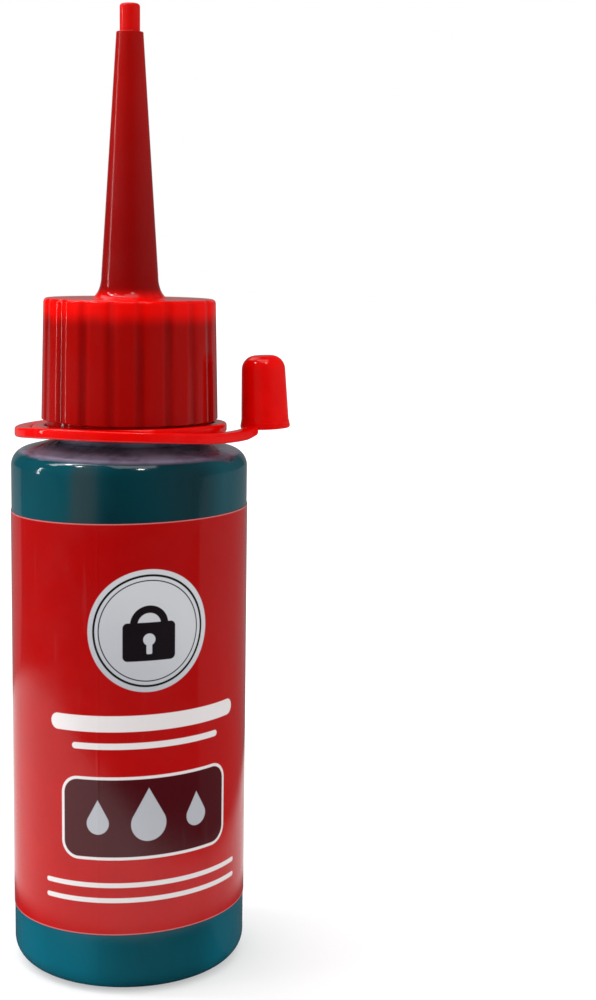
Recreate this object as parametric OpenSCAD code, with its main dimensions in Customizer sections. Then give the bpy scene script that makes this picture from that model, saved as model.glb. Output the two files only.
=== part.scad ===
// Lock lubricant squeeze bottle: blow-moulded bottle, wrap-round label, screw cap with a long
// nozzle, and a tethered tip cap. Millimetres, +Z up, the origin at the middle of the base,
// the front at -Y. The tether turns on the cap's spigot, and its strap is cut into links.

/* [Bottle] */
// Outer diameter of the bottle
bottle_d = 34; // [32:0.5:36]
// Height at which the straight side ends
side_h = 73.15; // [60:0.05:90]
// Wall thickness of the bottle
wall_t = 0.9; // [0.6:0.1:1.4]
// Thickness of the floor of the bottle
floor_t = 1.1; // [0.8:0.1:2]
// Rounding between the base and the side
base_round = 3.1; // [1.6:0.1:4]
// Rounding between the side and the shoulder
shoulder_round = 3.1; // [2:0.1:4]
// Fall of the shoulder from the neck to the side, in degrees
shoulder_slope = 15; // [8:1:20]

/* [Neck] */
// Outer diameter of the plain neck
neck_d = 20; // [18:0.1:24]
// Wall thickness of the neck
neck_wall = 1.1; // [0.8:0.1:1.6]
// How far the neck's thread stands out
thread_h = 0.85; // [0.7:0.05:1]
// Rise of the thread in one turn
thread_pitch = 3.18; // [2.8:0.01:3.6]
// Turns of thread on the neck
neck_turns = 1.75; // [1.25:0.25:2]
// Width of a thread at its root
thread_root_w = 1.2; // [0.9:0.1:1.3]
// Width of a thread at its crest
thread_crest_w = 0.5; // [0.3:0.1:0.7]
// Plain part of the neck above its thread
thread_drop = 1.9; // [1.4:0.1:2.4]

/* [Label] */
// Thickness of the label film
label_t = 0.15; // [0.08:0.01:0.25]
// Height of the label's lower edge at the front
label_z = 8.9; // [7:0.1:12]
// Height of the label
label_h = 58.6; // [45:0.1:60]
// How far the label is askew, in degrees
label_tilt = 1.65; // [0:0.05:3]
// Glue line between the bottle and the label
label_gap = 0.02; // [0.01:0.01:0.05]

/* [Lubricant] */
// Air between the lubricant and the top of the straight side
fill_drop = 1.2; // [0:0.1:20]
// Clearance between the lubricant and the wall
fill_gap = 0.05; // [0.03:0.01:0.1]

/* [Sealing washer] */
// Thickness of the foam washer
washer_t = 0.95; // [0.6:0.05:1.5]
// Diameter of the hole in the washer
washer_hole_d = 9; // [7:0.5:12]
// Clearance over, under and round the washer
washer_gap = 0.05; // [0.03:0.01:0.1]

/* [Screw cap] */
// Thickness of the skirt at its foot, over the ribs
cap_wall = 1.625; // [1.525:0.025:2.2]
// How far the skirt leans in from its foot to its top
cap_draft = 0.375; // [0.2:0.025:0.45]
// Height of the skirt
cap_h = 17.2; // [16:0.1:19]
// Thickness of the top of the cap
cap_top_t = 1.5; // [1.2:0.1:2]
// Rounding of the top edge
cap_edge_round = 0.6; // [0.3:0.1:0.8]
// Number of flutes round the skirt
flute_count = 19; // [16:1:20]
// Width of a flute
flute_w = 2; // [1.5:0.1:2.4]
// Depth of a flute
flute_depth = 0.4; // [0.2:0.05:0.45]
// Turn of the first flute from the front, in degrees
flute_turn = 6.7; // [0:0.1:18]
// Turns of thread in the cap
cap_turns = 1.5; // [1:0.25:1.75]
// Clearance between the cap's thread and the neck's
thread_gap = 0.2; // [0.15:0.05:0.25]

/* [Nozzle] */
// Diameter of the nozzle's cone at the top of the cap
nozzle_d = 8.5; // [7.5:0.1:9.5]
// Diameter of the cone at the step under the outlet
nozzle_tip_d = 3.8; // [3.6:0.1:3.9]
// Height of the cone
nozzle_h = 37; // [30:0.5:42]
// Rounding at the foot of the cone
nozzle_foot_round = 1.8; // [1:0.1:2.5]
// Wall thickness of the cone
nozzle_wall = 0.95; // [0.7:0.05:1.1]
// Diameter of the outlet tube
outlet_d = 2.84; // [2.6:0.02:3]
// Length of the outlet tube
outlet_h = 3.85; // [3:0.05:4.5]
// Rounding of the end of the outlet tube
outlet_round = 0.45; // [0.2:0.05:0.6]
// Diameter of the hole that the lubricant leaves by
outlet_hole_d = 1; // [0.8:0.1:1.2]

/* [Tether ring] */
// Width of the ring under the skirt
ring_w = 1.99; // [1.5:0.01:2.1]
// Thickness of the ring
ring_t = 1.4; // [1.2:0.05:1.6]
// Rounding of the ring's top edge
ring_round = 0.45; // [0.2:0.05:0.6]
// Wall thickness of the cap's spigot inside the ring
spigot_wall = 0.9; // [0.75:0.05:1.05]
// Running clearance between the spigot and the ring
ring_gap = 0.06; // [0.03:0.01:0.1]
// Bead that keeps the ring on the spigot
bead_out = 0.25; // [0.15:0.05:0.3]
// Height of the bead
bead_h = 0.45; // [0.3:0.05:0.5]
// Play of the ring under the skirt
ring_play = 0.25; // [0.15:0.05:0.3]
// Play of the ring over the bead
bead_play = 0.1; // [0.05:0.05:0.15]
// Space between the shoulder and the spigot
shoulder_gap = 1.1; // [0.8:0.1:1.6]

/* [Strap] */
// Width of the strap, across
strap_w = 2.05; // [1.8:0.05:2.2]
// Thickness of the strap, up and down
strap_t = 1.45; // [1.2:0.05:1.5]
// Rounding of the strap's edges
strap_round = 0.35; // [0.2:0.05:0.5]
// Space between the ring and the strap
strap_gap = 0.4; // [0.3:0.05:0.8]
// How far the strap lies below the ring's top face
strap_drop = 0.1; // [0:0.05:0.15]
// Angle of the strap's root on the ring, anticlockwise from the right
root_angle = 101; // [95:1:110]
// Angle that the root block takes up on the ring
root_sector = 9; // [6:1:12]
// Number of curved links
arc_links = 11; // [8:1:11]
// Angle that one curved link takes up
link_angle = 20; // [18:0.5:20]
// Length of the straight link
straight_l = 4.25; // [3.5:0.25:5]
// Length of the strap's tail, from the straight link to the tip cap
tail_l = 4.25; // [3.5:0.25:5]
// Space between two links
link_gap = 0.14; // [0.1:0.02:0.2]

/* [Tip cap] */
// Outer diameter of the tip cap at its mouth
tip_d = 7.2; // [7:0.1:7.4]
// Outer diameter of the tip cap above its lip
tip_side_d = 6.9; // [6.7:0.1:7]
// Outer diameter of the tip cap under its rounded top
tip_top_d = 6.25; // [6:0.05:6.6]
// Height of the lip round the mouth
tip_lip_h = 0.8; // [0.5:0.1:1.2]
// Height of the tip cap
tip_h = 10.5; // [10.5:0.1:12]
// Rounding of the closed end
tip_round = 1.3; // [0.8:0.1:1.6]
// Diameter of the mouth
tip_mouth_d = 5.24; // [5.1:0.02:5.4]
// Diameter of the bottom of the tip cap's hollow
tip_hollow_d = 4.4; // [4.1:0.1:4.6]
// Thickness of the closed end
tip_end_t = 1.1; // [0.8:0.1:1.1]
// How far the strap reaches below the mouth
tip_rise = 0.75; // [0.5:0.05:1]
// Lean of the tip cap towards the bottle, in degrees
tip_lean = 2.4; // [0:0.1:5]

/* [Hidden] */
$fn = 96;
overrun = 0.5;
arc_steps = 6;
edge_steps = 3;
thread_steps = 24;
fade_share = 0.12;

bottle_r = bottle_d / 2;
neck_r = neck_d / 2;
neck_bore_r = neck_r - neck_wall;
thread_r = neck_r + thread_h;
cap_bore_r = thread_r + thread_gap;
cap_crest_r = neck_r + thread_gap;
cap_r = cap_bore_r + cap_wall;
cap_top_r = cap_r - cap_draft;
spigot_r = cap_bore_r + spigot_wall;
ring_bore_r = spigot_r + ring_gap;
ring_r = ring_bore_r + ring_w;

// The stack from the shoulder to the outlet
arc_end_r = bottle_r - shoulder_round + shoulder_round * sin(shoulder_slope);
arc_end_z = side_h + shoulder_round * cos(shoulder_slope);
function shoulder_at(r) = arc_end_z + (arc_end_r - r) * tan(shoulder_slope);
spigot_z = shoulder_at(spigot_r) + shoulder_gap;
bead_top_z = spigot_z + bead_h;
ring_z = bead_top_z + bead_play;
ring_top_z = ring_z + ring_t;
skirt_z = ring_top_z + ring_play;
cap_top_z = skirt_z + cap_h;
cap_roof_z = cap_top_z - cap_top_t;
washer_z = cap_roof_z - washer_gap - washer_t;
rim_z = washer_z - washer_gap;
step_z = cap_top_z + nozzle_h;
outlet_top_z = step_z + outlet_h;

// The two threads
neck_thread_z = rim_z - thread_drop - thread_root_w / 2 - neck_turns * thread_pitch;
flank_drop = (thread_root_w + thread_crest_w) / 2 + thread_gap;
cap_thread_z = neck_thread_z - flank_drop + (neck_turns - cap_turns) * thread_pitch / 2;
cap_thread_start = (neck_turns - cap_turns) * 180;

// The strap's path
strap_in_r = ring_r + strap_gap;
strap_mid_r = strap_in_r + strap_w / 2;
strap_z = ring_top_z - strap_drop - strap_t;
strap_mid_z = strap_z + strap_t / 2;
arc_end_angle = root_angle + arc_links * link_angle;
gap_angle = link_gap / strap_mid_r * 180 / PI;
strap_links = arc_links + 1;
tip_reach = straight_l + tail_l + tip_d / 2;
tip_z = strap_z + tip_rise;

// Points of a round stretch about a centre, from one angle to another
function arc(cx, cy, r, from, to, steps) =
    [for (i = [0 : steps]) let (a = from + (to - from) * i / steps) [cx + r * cos(a), cy + r * sin(a)]];

// Outline of a bar's section with rounded edges, about its middle
function bar(w, t, r) = concat(
    arc(w / 2 - r, t / 2 - r, r, 0, 90, edge_steps),
    arc(r - w / 2, t / 2 - r, r, 90, 180, edge_steps),
    arc(r - w / 2, r - t / 2, r, 180, 270, edge_steps),
    arc(w / 2 - r, r - t / 2, r, 270, 360, edge_steps));

// A screw thread: a four-sided section that climbs as it turns and fades out at both ends
module thread(root_r, crest_r, turns) {
    sink = root_r > crest_r ? thread_gap : -thread_gap;
    sunk_r = root_r + sink * 2;
    count = round(turns * thread_steps);
    function fade(s) = min(1, min(s, 1 - s) / fade_share);
    function tip_r(s) = root_r + sink + (crest_r - root_r - sink) * fade(s);
    function corner(s, r, side) = let (a = 360 * turns * s)
        [r * cos(a), r * sin(a), turns * thread_pitch * s + side];
    points = [for (i = [0 : count]) let (s = i / count, t = tip_r(s)) each [
        corner(s, sunk_r, -thread_root_w / 2), corner(s, t, -thread_crest_w / 2),
        corner(s, t, thread_crest_w / 2), corner(s, sunk_r, thread_root_w / 2)]];
    sides = [for (i = [0 : count - 1], j = [0 : 3]) let (a = 4 * i + j, b = 4 * i + (j + 1) % 4)
        each [[a, a + 4, b + 4], [a, b + 4, b]]];
    last = 4 * count;
    ends = [[0, 1, 2], [0, 2, 3], [last, last + 2, last + 1], [last, last + 3, last + 2]];
    outward = concat(sides, ends);
    polyhedron(points, root_r > crest_r ? outward : [for (f = outward) [f[0], f[2], f[1]]]);
}

module bottle() {
    outer = concat([[0, 0]],
        arc(bottle_r - base_round, base_round, base_round, -90, 0, arc_steps),
        arc(bottle_r - shoulder_round, side_h, shoulder_round, 0, 90 - shoulder_slope, arc_steps),
        [[neck_r, shoulder_at(neck_r)], [neck_r, rim_z]]);
    inner_round = base_round - wall_t;
    inner_shoulder = shoulder_round - wall_t;
    inner_end = [bottle_r - shoulder_round + inner_shoulder * sin(shoulder_slope),
        side_h + inner_shoulder * cos(shoulder_slope)];
    inner = concat([[neck_bore_r, rim_z],
        [neck_bore_r, inner_end[1] + (inner_end[0] - neck_bore_r) * tan(shoulder_slope)]],
        arc(bottle_r - shoulder_round, side_h, inner_shoulder, 90 - shoulder_slope, 0, arc_steps),
        arc(bottle_r - base_round, floor_t + inner_round, inner_round, 0, -90, arc_steps),
        [[0, floor_t]]);
    color("teal") {
        rotate_extrude() polygon(concat(outer, inner));
        translate([0, 0, neck_thread_z]) thread(neck_r, thread_r, neck_turns);
    }
}

module label() {
    in_r = bottle_r + label_gap;
    out_r = in_r + label_t;
    span = bottle_d * 2;
    rise = out_r * tan(label_tilt) + label_t;
    color("crimson") difference() {
        translate([0, 0, label_z - rise]) cylinder(r = out_r, h = label_h + rise * 2);
        translate([0, 0, label_z - rise - overrun]) cylinder(r = in_r, h = label_h + (rise + overrun) * 2);
        translate([0, 0, label_z]) rotate([0, -label_tilt, 0])
            translate([0, 0, -span / 2]) cube(span, center = true);
        translate([0, 0, label_z + label_h]) rotate([0, -label_tilt, 0])
            translate([0, 0, span / 2]) cube(span, center = true);
    }
}

module lubricant() {
    r = bottle_r - wall_t - fill_gap;
    round_r = base_round - wall_t;
    color("dimgray") rotate_extrude() polygon(concat([[0, floor_t + fill_gap]],
        arc(r - round_r, floor_t + fill_gap + round_r, round_r, -90, 0, arc_steps),
        [[r, side_h - fill_drop], [0, side_h - fill_drop]]));
}

module sealing_washer() {
    color("ivory") translate([0, 0, washer_z]) difference() {
        cylinder(r = thread_r, h = washer_t);
        translate([0, 0, -overrun]) cylinder(d = washer_hole_d, h = washer_t + overrun * 2);
    }
}

module nozzle_cap() {
    nozzle_r = nozzle_d / 2;
    nozzle_tip_r = nozzle_tip_d / 2;
    outlet_r = outlet_d / 2;
    hole_r = outlet_hole_d / 2;
    foot_r = nozzle_r + (nozzle_tip_r - nozzle_r) * nozzle_foot_round / nozzle_h;
    draft = atan(cap_draft / cap_h);
    cut_r = (flute_w * flute_w / 4 + flute_depth * flute_depth) / (2 * flute_depth);
    outside = concat(
        [[spigot_r, spigot_z], [spigot_r + bead_out, spigot_z + bead_h / 2],
            [spigot_r + bead_out, bead_top_z], [spigot_r, bead_top_z],
            [spigot_r, skirt_z], [cap_r, skirt_z]],
        arc(cap_top_r - cap_edge_round, cap_top_z - cap_edge_round, cap_edge_round, 0, 90, arc_steps),
        arc(foot_r + nozzle_foot_round, cap_top_z + nozzle_foot_round, nozzle_foot_round, 270, 180,
            arc_steps),
        [[nozzle_tip_r, step_z], [outlet_r, step_z]],
        arc(outlet_r - outlet_round, outlet_top_z - outlet_round, outlet_round, 0, 90, arc_steps));
    inside = [[hole_r, outlet_top_z], [hole_r, step_z],
        [nozzle_tip_r - nozzle_wall, step_z - nozzle_wall],
        [nozzle_r - nozzle_wall, cap_roof_z], [cap_bore_r, cap_roof_z],
        [cap_bore_r, spigot_z]];
    color("red") {
        difference() {
            rotate_extrude() polygon(concat(outside, inside));
            for (i = [0 : flute_count - 1])
                rotate([0, 0, flute_turn - 90 + i * 360 / flute_count])
                    translate([cap_r + cut_r - flute_depth, 0, skirt_z]) rotate([0, -draft, 0])
                        translate([0, 0, -overrun]) cylinder(r = cut_r, h = cap_h + overrun * 2);
        }
        translate([0, 0, cap_thread_z]) rotate([0, 0, cap_thread_start])
            thread(cap_bore_r, cap_crest_r, cap_turns);
    }
}

module strap_arc(from, to) {
    rotate([0, 0, from]) rotate_extrude(angle = to - from)
        translate([strap_mid_r, strap_mid_z]) polygon(bar(strap_w, strap_t, strap_round));
}

module tether_ring() {
    color("red") {
        rotate_extrude() polygon(concat([[ring_bore_r, ring_z], [ring_r, ring_z]],
            arc(ring_r - ring_round, ring_top_z - ring_round, ring_round, 0, 90, edge_steps),
            [[ring_bore_r, ring_top_z]]));
        strap_arc(root_angle - root_sector, root_angle - gap_angle / 2);
        rotate([0, 0, root_angle - root_sector]) rotate_extrude(angle = root_sector - gap_angle)
            translate([ring_r - ring_w / 2, ring_z]) square([strap_gap + ring_w / 2 + strap_w / 2,
                strap_z + strap_t - ring_z - strap_round]);
    }
}

// Moves a straight bar from the right of the axis to the strap's straight end
module at_strap_end() {
    rotate([0, 0, arc_end_angle]) translate([strap_mid_r, 0, strap_mid_z]) rotate([-90, 0, 0])
        children();
}

module strap_link(k) {
    start = root_angle + (k - 1) * link_angle;
    color("red") {
        if (k <= arc_links) strap_arc(start + gap_angle / 2, start + link_angle - gap_angle / 2);
        else at_strap_end() translate([0, 0, link_gap / 2])
            linear_extrude(straight_l - link_gap) polygon(bar(strap_w, strap_t, strap_round));
    }
}

module tip_cap() {
    mouth_r = tip_mouth_d / 2;
    outside = concat([[0, 0], [tip_d / 2, 0], [tip_d / 2, tip_lip_h / 2],
        [tip_side_d / 2, tip_lip_h]],
        arc(tip_top_d / 2 - tip_round, tip_h - tip_round, tip_round, 0, 90, arc_steps), [[0, tip_h]]);
    hollow = [[0, -tip_rise - overrun], [mouth_r, -tip_rise - overrun], [mouth_r, 0],
        [tip_hollow_d / 2, tip_h - tip_end_t], [0, tip_h - tip_end_t]];
    centre = [strap_mid_r * cos(arc_end_angle) - tip_reach * sin(arc_end_angle),
        strap_mid_r * sin(arc_end_angle) + tip_reach * cos(arc_end_angle), tip_z];
    color("red") difference() {
        union() {
            translate(centre) rotate([0, -tip_lean, 0]) rotate_extrude() polygon(outside);
            at_strap_end() translate([0, 0, straight_l + link_gap / 2])
                linear_extrude(tail_l + tip_d / 2 - mouth_r + strap_round - link_gap / 2)
                    polygon(bar(strap_w, strap_t, strap_round));
        }
        translate(centre) rotate([0, -tip_lean, 0]) rotate_extrude() polygon(hollow);
    }
}

bottle();
label();
lubricant();
sealing_washer();
nozzle_cap();
tether_ring();
for (k = [1 : strap_links]) strap_link(k);
tip_cap();
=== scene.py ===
# %% [markdown]
# # A lock lubricant bottle, dressed in Blender
# The object is a small squeeze bottle with a wrap-round label, a fluted screw cap with a long
# nozzle, and a tip cap on a strap. The CAD model gives every size and every joint. This lesson
# loads it as a fixed frame and builds finer surfaces round it: smooth walls, a label with a
# print, ribs with soft edges and a strap that curves without kinks.

import bmesh
import bpy
import numpy as np
from mathutils import Matrix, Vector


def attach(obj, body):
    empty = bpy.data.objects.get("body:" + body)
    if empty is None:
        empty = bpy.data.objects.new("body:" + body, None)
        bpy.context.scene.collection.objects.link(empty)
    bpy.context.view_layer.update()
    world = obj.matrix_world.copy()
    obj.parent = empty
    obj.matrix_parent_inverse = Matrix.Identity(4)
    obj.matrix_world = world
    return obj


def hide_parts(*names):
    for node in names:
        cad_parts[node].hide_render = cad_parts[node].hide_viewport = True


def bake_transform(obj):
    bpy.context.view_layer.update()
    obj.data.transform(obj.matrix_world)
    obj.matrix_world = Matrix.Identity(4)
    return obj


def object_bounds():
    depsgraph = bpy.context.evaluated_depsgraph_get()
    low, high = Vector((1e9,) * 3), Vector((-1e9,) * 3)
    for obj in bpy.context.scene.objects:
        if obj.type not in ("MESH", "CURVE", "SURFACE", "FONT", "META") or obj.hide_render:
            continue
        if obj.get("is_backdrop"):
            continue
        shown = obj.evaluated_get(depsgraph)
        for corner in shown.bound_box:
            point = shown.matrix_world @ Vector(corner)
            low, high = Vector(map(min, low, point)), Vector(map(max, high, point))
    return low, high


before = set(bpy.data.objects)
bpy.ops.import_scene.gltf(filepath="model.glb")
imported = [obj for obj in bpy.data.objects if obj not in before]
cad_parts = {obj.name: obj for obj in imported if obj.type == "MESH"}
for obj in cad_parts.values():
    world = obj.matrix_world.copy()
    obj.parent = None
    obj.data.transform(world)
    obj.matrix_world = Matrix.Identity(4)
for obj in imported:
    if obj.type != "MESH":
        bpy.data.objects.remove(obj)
cad_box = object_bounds()

# %% [markdown]
# ## The camera
# The camera stands where the photograph was taken from: a quarter of a metre in front of the
# bottle, a little above the nozzle's foot, and turned so that the bottle stands left of the
# middle. A camera looks along its own -Z, so its three axes are worked out from the yaw, the
# pitch and the roll, and go into a matrix as columns.

# %% Place the camera
EYE = np.array([0.0, -0.2463, 0.1050])
YAW, PITCH, ROLL = np.radians([5.70, 8.45, 0.85])


def camera_axes(yaw, pitch, roll):
    """Right, up and backward: forward turns with yaw and dips with pitch, and right and up
    roll about it."""
    forward = np.array([np.sin(yaw) * np.cos(pitch), np.cos(yaw) * np.cos(pitch), -np.sin(pitch)])
    level = np.array([np.cos(yaw), -np.sin(yaw), 0.0])
    up = np.cross(level, forward)
    right = np.cos(roll) * level + np.sin(roll) * up
    return np.stack([right, np.cos(roll) * up - np.sin(roll) * level, -forward], axis=1)


eye = bpy.data.cameras.new("photo_camera")
eye.sensor_width = 36.0
eye.lens = 61.34
eye.clip_start, eye.clip_end = 0.01, 50.0
camera = bpy.data.objects.new("photo_camera", eye)
bpy.context.scene.collection.objects.link(camera)
placed = np.eye(4)
placed[:3, :3] = camera_axes(YAW, PITCH, ROLL)
placed[:3, 3] = EYE
camera.matrix_world = Matrix(placed.tolist())
bpy.context.scene.camera = camera
bpy.context.scene.view_settings.view_transform = "Standard"
print("camera at", EYE, "m, lens", eye.lens, "mm")

# %% [markdown]
# ## Helpers for node trees
# A material is a small graph, and short helpers keep it readable. node adds a node and sets its
# plain values, and feed sets or links an input. calc, remap and mix each add one step of
# arithmetic, where every input is a number, a colour or another node's socket.


# %% Node helpers
def node(tree, kind, **settings):
    """One node of a kind, with its plain settings set by name."""
    made = tree.nodes.new("ShaderNode" + kind)
    for name, value in settings.items():
        setattr(made, name, value)
    return made


def feed(tree, socket, value):
    """A number or a colour is set on the socket, and another node's socket is linked to it."""
    if isinstance(value, bpy.types.NodeSocket):
        tree.links.new(value, socket)
    else:
        socket.default_value = value


def calc(tree, operation, a, b=0.0, c=0.0, clamp=False):
    """The result of one Math node: a and b, and c where the operation has a third number."""
    made = node(tree, "Math", operation=operation, use_clamp=clamp)
    for socket, value in zip(made.inputs, (a, b, c)):
        feed(tree, socket, value)
    return made.outputs[0]


def remap(tree, value, low, high, to_low=0.0, to_high=1.0, smooth=True):
    """value carried from the range low..high to another range, and held at its ends."""
    kind = "SMOOTHSTEP" if smooth else "LINEAR"
    made = node(tree, "MapRange", interpolation_type=kind)
    for socket, number in zip(made.inputs, (value, low, high, to_low, to_high)):
        feed(tree, socket, number)
    return made.outputs[0]


def mix(tree, share, a, b):
    """Colour a where share is 0, and colour b where it is 1. A Mix node keeps sockets for numbers
    and vectors too, and its colours are inputs 6 and 7 and output 2."""
    made = node(tree, "Mix", data_type="RGBA")
    feed(tree, made.inputs["Factor"], share)
    feed(tree, made.inputs[6], a)
    feed(tree, made.inputs[7], b)
    return made.outputs[2]


def screen_colour(red, green, blue):
    """A colour as a screen shows it, 0 to 255, turned into the linear numbers that light adds
    up in."""
    c = np.array([red, green, blue]) / 255
    c = np.where(c < 0.04045, c / 12.92, ((c + 0.055) / 1.055) ** 2.4)
    return (*(float(v) for v in c), 1.0)


def material(name):
    """A new node material, its tree, and its Principled shader, which is already joined to the
    output."""
    made = bpy.data.materials.new(name)
    made.use_nodes = True
    return made, made.node_tree, made.node_tree.nodes["Principled BSDF"]


print("red 220, 40, 30 is", [round(v, 3) for v in screen_colour(220, 40, 30)[:3]])

# %% [markdown]
# ## The studio
# The bottle stands on a pale sheet. The sheet glows a little for the camera, more so far away
# where less lamplight falls, so it comes out white and still keeps a soft shadow. Gloss sees it
# as a lit table top whose front edge is a hand's breadth from the bottle. Past that edge it is
# dim, right round the foot too, and towards the back right it keeps a small share of its light.
# That is why the lower half of the glossy label looks paler than its upper half.

# %% Floor
TABLE_MIDDLE, BACK_RIGHT = (-0.055, 0.020, 0.0), (0.494, 0.870, 0.0)
PALE, DIM = (0.60, 0.60, 0.60, 1.0), (0.05, 0.05, 0.05, 1.0)

floor_mesh = bpy.data.meshes.new("pale_sheet")
corners = [(-2.0, -0.19, 0.0), (2.0, -0.19, 0.0), (2.0, 3.0, 0.0), (-2.0, 3.0, 0.0)]
floor_mesh.from_pydata(corners, [], [(0, 1, 2, 3)])
floor = bpy.data.objects.new("pale_sheet", floor_mesh)
bpy.context.scene.collection.objects.link(floor)
floor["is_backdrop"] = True

sheet = bpy.data.materials.new("pale_sheet")
sheet.use_nodes = True
tree = sheet.node_tree
tree.nodes.clear()
matt = node(tree, "BsdfDiffuse")
rays = node(tree, "LightPath")
glow = node(tree, "Emission")
glow.inputs["Color"].default_value = (1.0, 1.0, 1.0, 1.0)
at = node(tree, "TexCoord").outputs["Object"]
spot = node(tree, "VectorMath", operation="LENGTH")
patch = node(tree, "VectorMath", operation="DISTANCE")
patch.inputs[1].default_value = TABLE_MIDDLE
side = node(tree, "VectorMath", operation="DOT_PRODUCT")
side.inputs[1].default_value = BACK_RIGHT
for socket in (spot.inputs[0], patch.inputs[0], side.inputs[0]):
    tree.links.new(at, socket)
away = spot.outputs["Value"]
white = remap(tree, away, 0.04, 0.40, 0.42, 0.62)
past_foot = remap(tree, away, 0.033, 0.043)
on_table = remap(tree, patch.outputs["Value"], 0.140, 0.112)
near = calc(tree, "MULTIPLY", past_foot, on_table)
behind = remap(tree, calc(tree, "DIVIDE", side.outputs["Value"], away), 0.10, 0.155)
behind = calc(tree, "MULTIPLY", behind, remap(tree, away, 0.08, 0.25, 0.10, 0.25))
dim = calc(tree, "SUBTRACT", 1.0, calc(tree, "MAXIMUM", near, behind))
dim = calc(tree, "MULTIPLY", rays.outputs["Is Glossy Ray"], dim)
feed(tree, matt.inputs["Color"], mix(tree, dim, PALE, DIM))
feed(tree, glow.inputs["Strength"], calc(tree, "MULTIPLY", rays.outputs["Is Camera Ray"], white))
both = node(tree, "AddShader")
tree.links.new(matt.outputs[0], both.inputs[0])
tree.links.new(glow.outputs[0], both.inputs[1])
out = node(tree, "OutputMaterial")
tree.links.new(both.outputs[0], out.inputs["Surface"])
floor_mesh.materials.append(sheet)
print("floor", corners[0], "to", corners[2])

# %% [markdown]
# The world shows the camera a plain white surround. Its diffuse light is stronger from both
# sides than from the front, and most of all from the left, which rounds the bottle. Gloss sees a
# dim room instead, a touch brighter at the right, with a faint backdrop behind the bottle,
# because a white room would lay a pale veil over every glossy red.

# %% World
world = bpy.data.worlds.new("studio")
bpy.context.scene.world = world
world.use_nodes = True
tree = world.node_tree
tree.nodes.clear()
rays = node(tree, "LightPath")
ways = node(tree, "SeparateXYZ")
tree.links.new(node(tree, "TexCoord").outputs["Generated"], ways.inputs[0])
at_right = remap(tree, ways.outputs[0], 0.0, 1.0, 0.03, 0.10)
backdrop = remap(tree, ways.outputs[1], 0.80, 0.92, 0.0, 0.20)
room = calc(tree, "MAXIMUM", at_right, backdrop)
sides = calc(tree, "MULTIPLY", ways.outputs[0], calc(tree, "MULTIPLY_ADD", ways.outputs[0], 1.52, -0.40))
sky = calc(tree, "ADD", sides, calc(tree, "MULTIPLY_ADD", ways.outputs[1], 0.25, 0.61))
less = calc(tree, "SUBTRACT", room, sky)
lit = calc(tree, "MULTIPLY_ADD", rays.outputs["Is Glossy Ray"], less, sky)
plain = calc(tree, "MAXIMUM", rays.outputs["Is Camera Ray"], rays.outputs["Is Transmission Ray"])
surround = node(tree, "Background")
surround.inputs["Color"].default_value = (1.0, 1.0, 1.0, 1.0)
feed(tree, surround.inputs["Strength"], calc(tree, "MAXIMUM", plain, lit))
out = node(tree, "OutputWorld")
tree.links.new(surround.outputs[0], out.inputs["Surface"])
print("world nodes:", len(tree.nodes))

# %% [markdown]
# Soft boxes light it: a long strip that climbs from the left to overhead, one behind the left
# shoulder and one above. A tall narrow one at the left draws the thin bright line down the nozzle.
# Three small bulbs high in the room make the sharp white sparks on rounded edges.


# %% Lamps
def lamp(name, azimuth, elevation, distance, width, height, watts, aim=(0.0, 0.0, 0.07)):
    """An area lamp on a ball round aim. Azimuth 0 is in front, at -Y, and grows towards +X."""
    data = bpy.data.lights.new(name, "AREA")
    data.shape, data.size, data.size_y, data.energy = "RECTANGLE", width, height, watts
    a, e = np.radians([azimuth, elevation])
    out_way = np.array([np.sin(a) * np.cos(e), -np.cos(a) * np.cos(e), np.sin(e)])
    side = np.array([np.cos(a), np.sin(a), 0.0])
    pose = np.eye(4)
    pose[:3, :3] = np.stack([side, np.cross(out_way, side), out_way], axis=1)
    pose[:3, 3] = np.array(aim) + out_way * distance
    made = bpy.data.objects.new(name, data)
    made.matrix_world = Matrix(pose.tolist())
    bpy.context.scene.collection.objects.link(made)


BULBS = [(-75, 56, 0.34), (-97, 55, 0.34), (16, 58, 0.55)]

lamp("strip", -100, 60, 0.70, 0.10, 0.56, 0.90)
lamp("back_box", -150, 50, 0.70, 0.34, 0.30, 0.40)
lamp("top_box", 10, 80, 0.70, 0.36, 0.36, 0.60)
lamp("tall_box", -97, 9, 0.90, 0.035, 0.44, 0.50)
for number, (azimuth, elevation, watts) in enumerate(BULBS):
    lamp(f"bulb_{number}", azimuth, elevation, 0.90, 0.05, 0.07, watts)
print("lamps:", len(bpy.data.lights))

# %% [markdown]
# ## From numbers to a mesh
# Every piece below is a grid of points, worked out as whole arrays, in millimetres and degrees. A
# grid has columns, which go round or along the piece, and rows, which follow its outline. Where a
# row of points meets the axis, its doubles are merged, so poles are closed. If the volume comes
# out negative the faces look inwards, and are turned round.

# %% Mesh helpers
MM = 0.001


def quads(columns, rows, round_columns, round_rows):
    """The faces of a grid whose point (i, j) is number i * rows + j, joined at its ends where it
    goes round."""
    i, j = np.meshgrid(
        np.arange(columns if round_columns else columns - 1),
        np.arange(rows if round_rows else rows - 1),
        indexing="ij",
    )
    right, above = (i + 1) % columns, (j + 1) % rows
    around = [i * rows + j, right * rows + j, right * rows + above, i * rows + above]
    return np.stack(around, -1).reshape(-1, 4)


def signed_volume(points, faces):
    """A closed mesh's volume: the sum, over its triangles, of the tetrahedra that they make with
    the origin."""
    p = points[faces]
    first = np.einsum("ni,ni->n", p[:, 0], np.cross(p[:, 1], p[:, 2]))
    second = np.einsum("ni,ni->n", p[:, 0], np.cross(p[:, 2], p[:, 3]))
    return float((first + second).sum() / 6)


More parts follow.
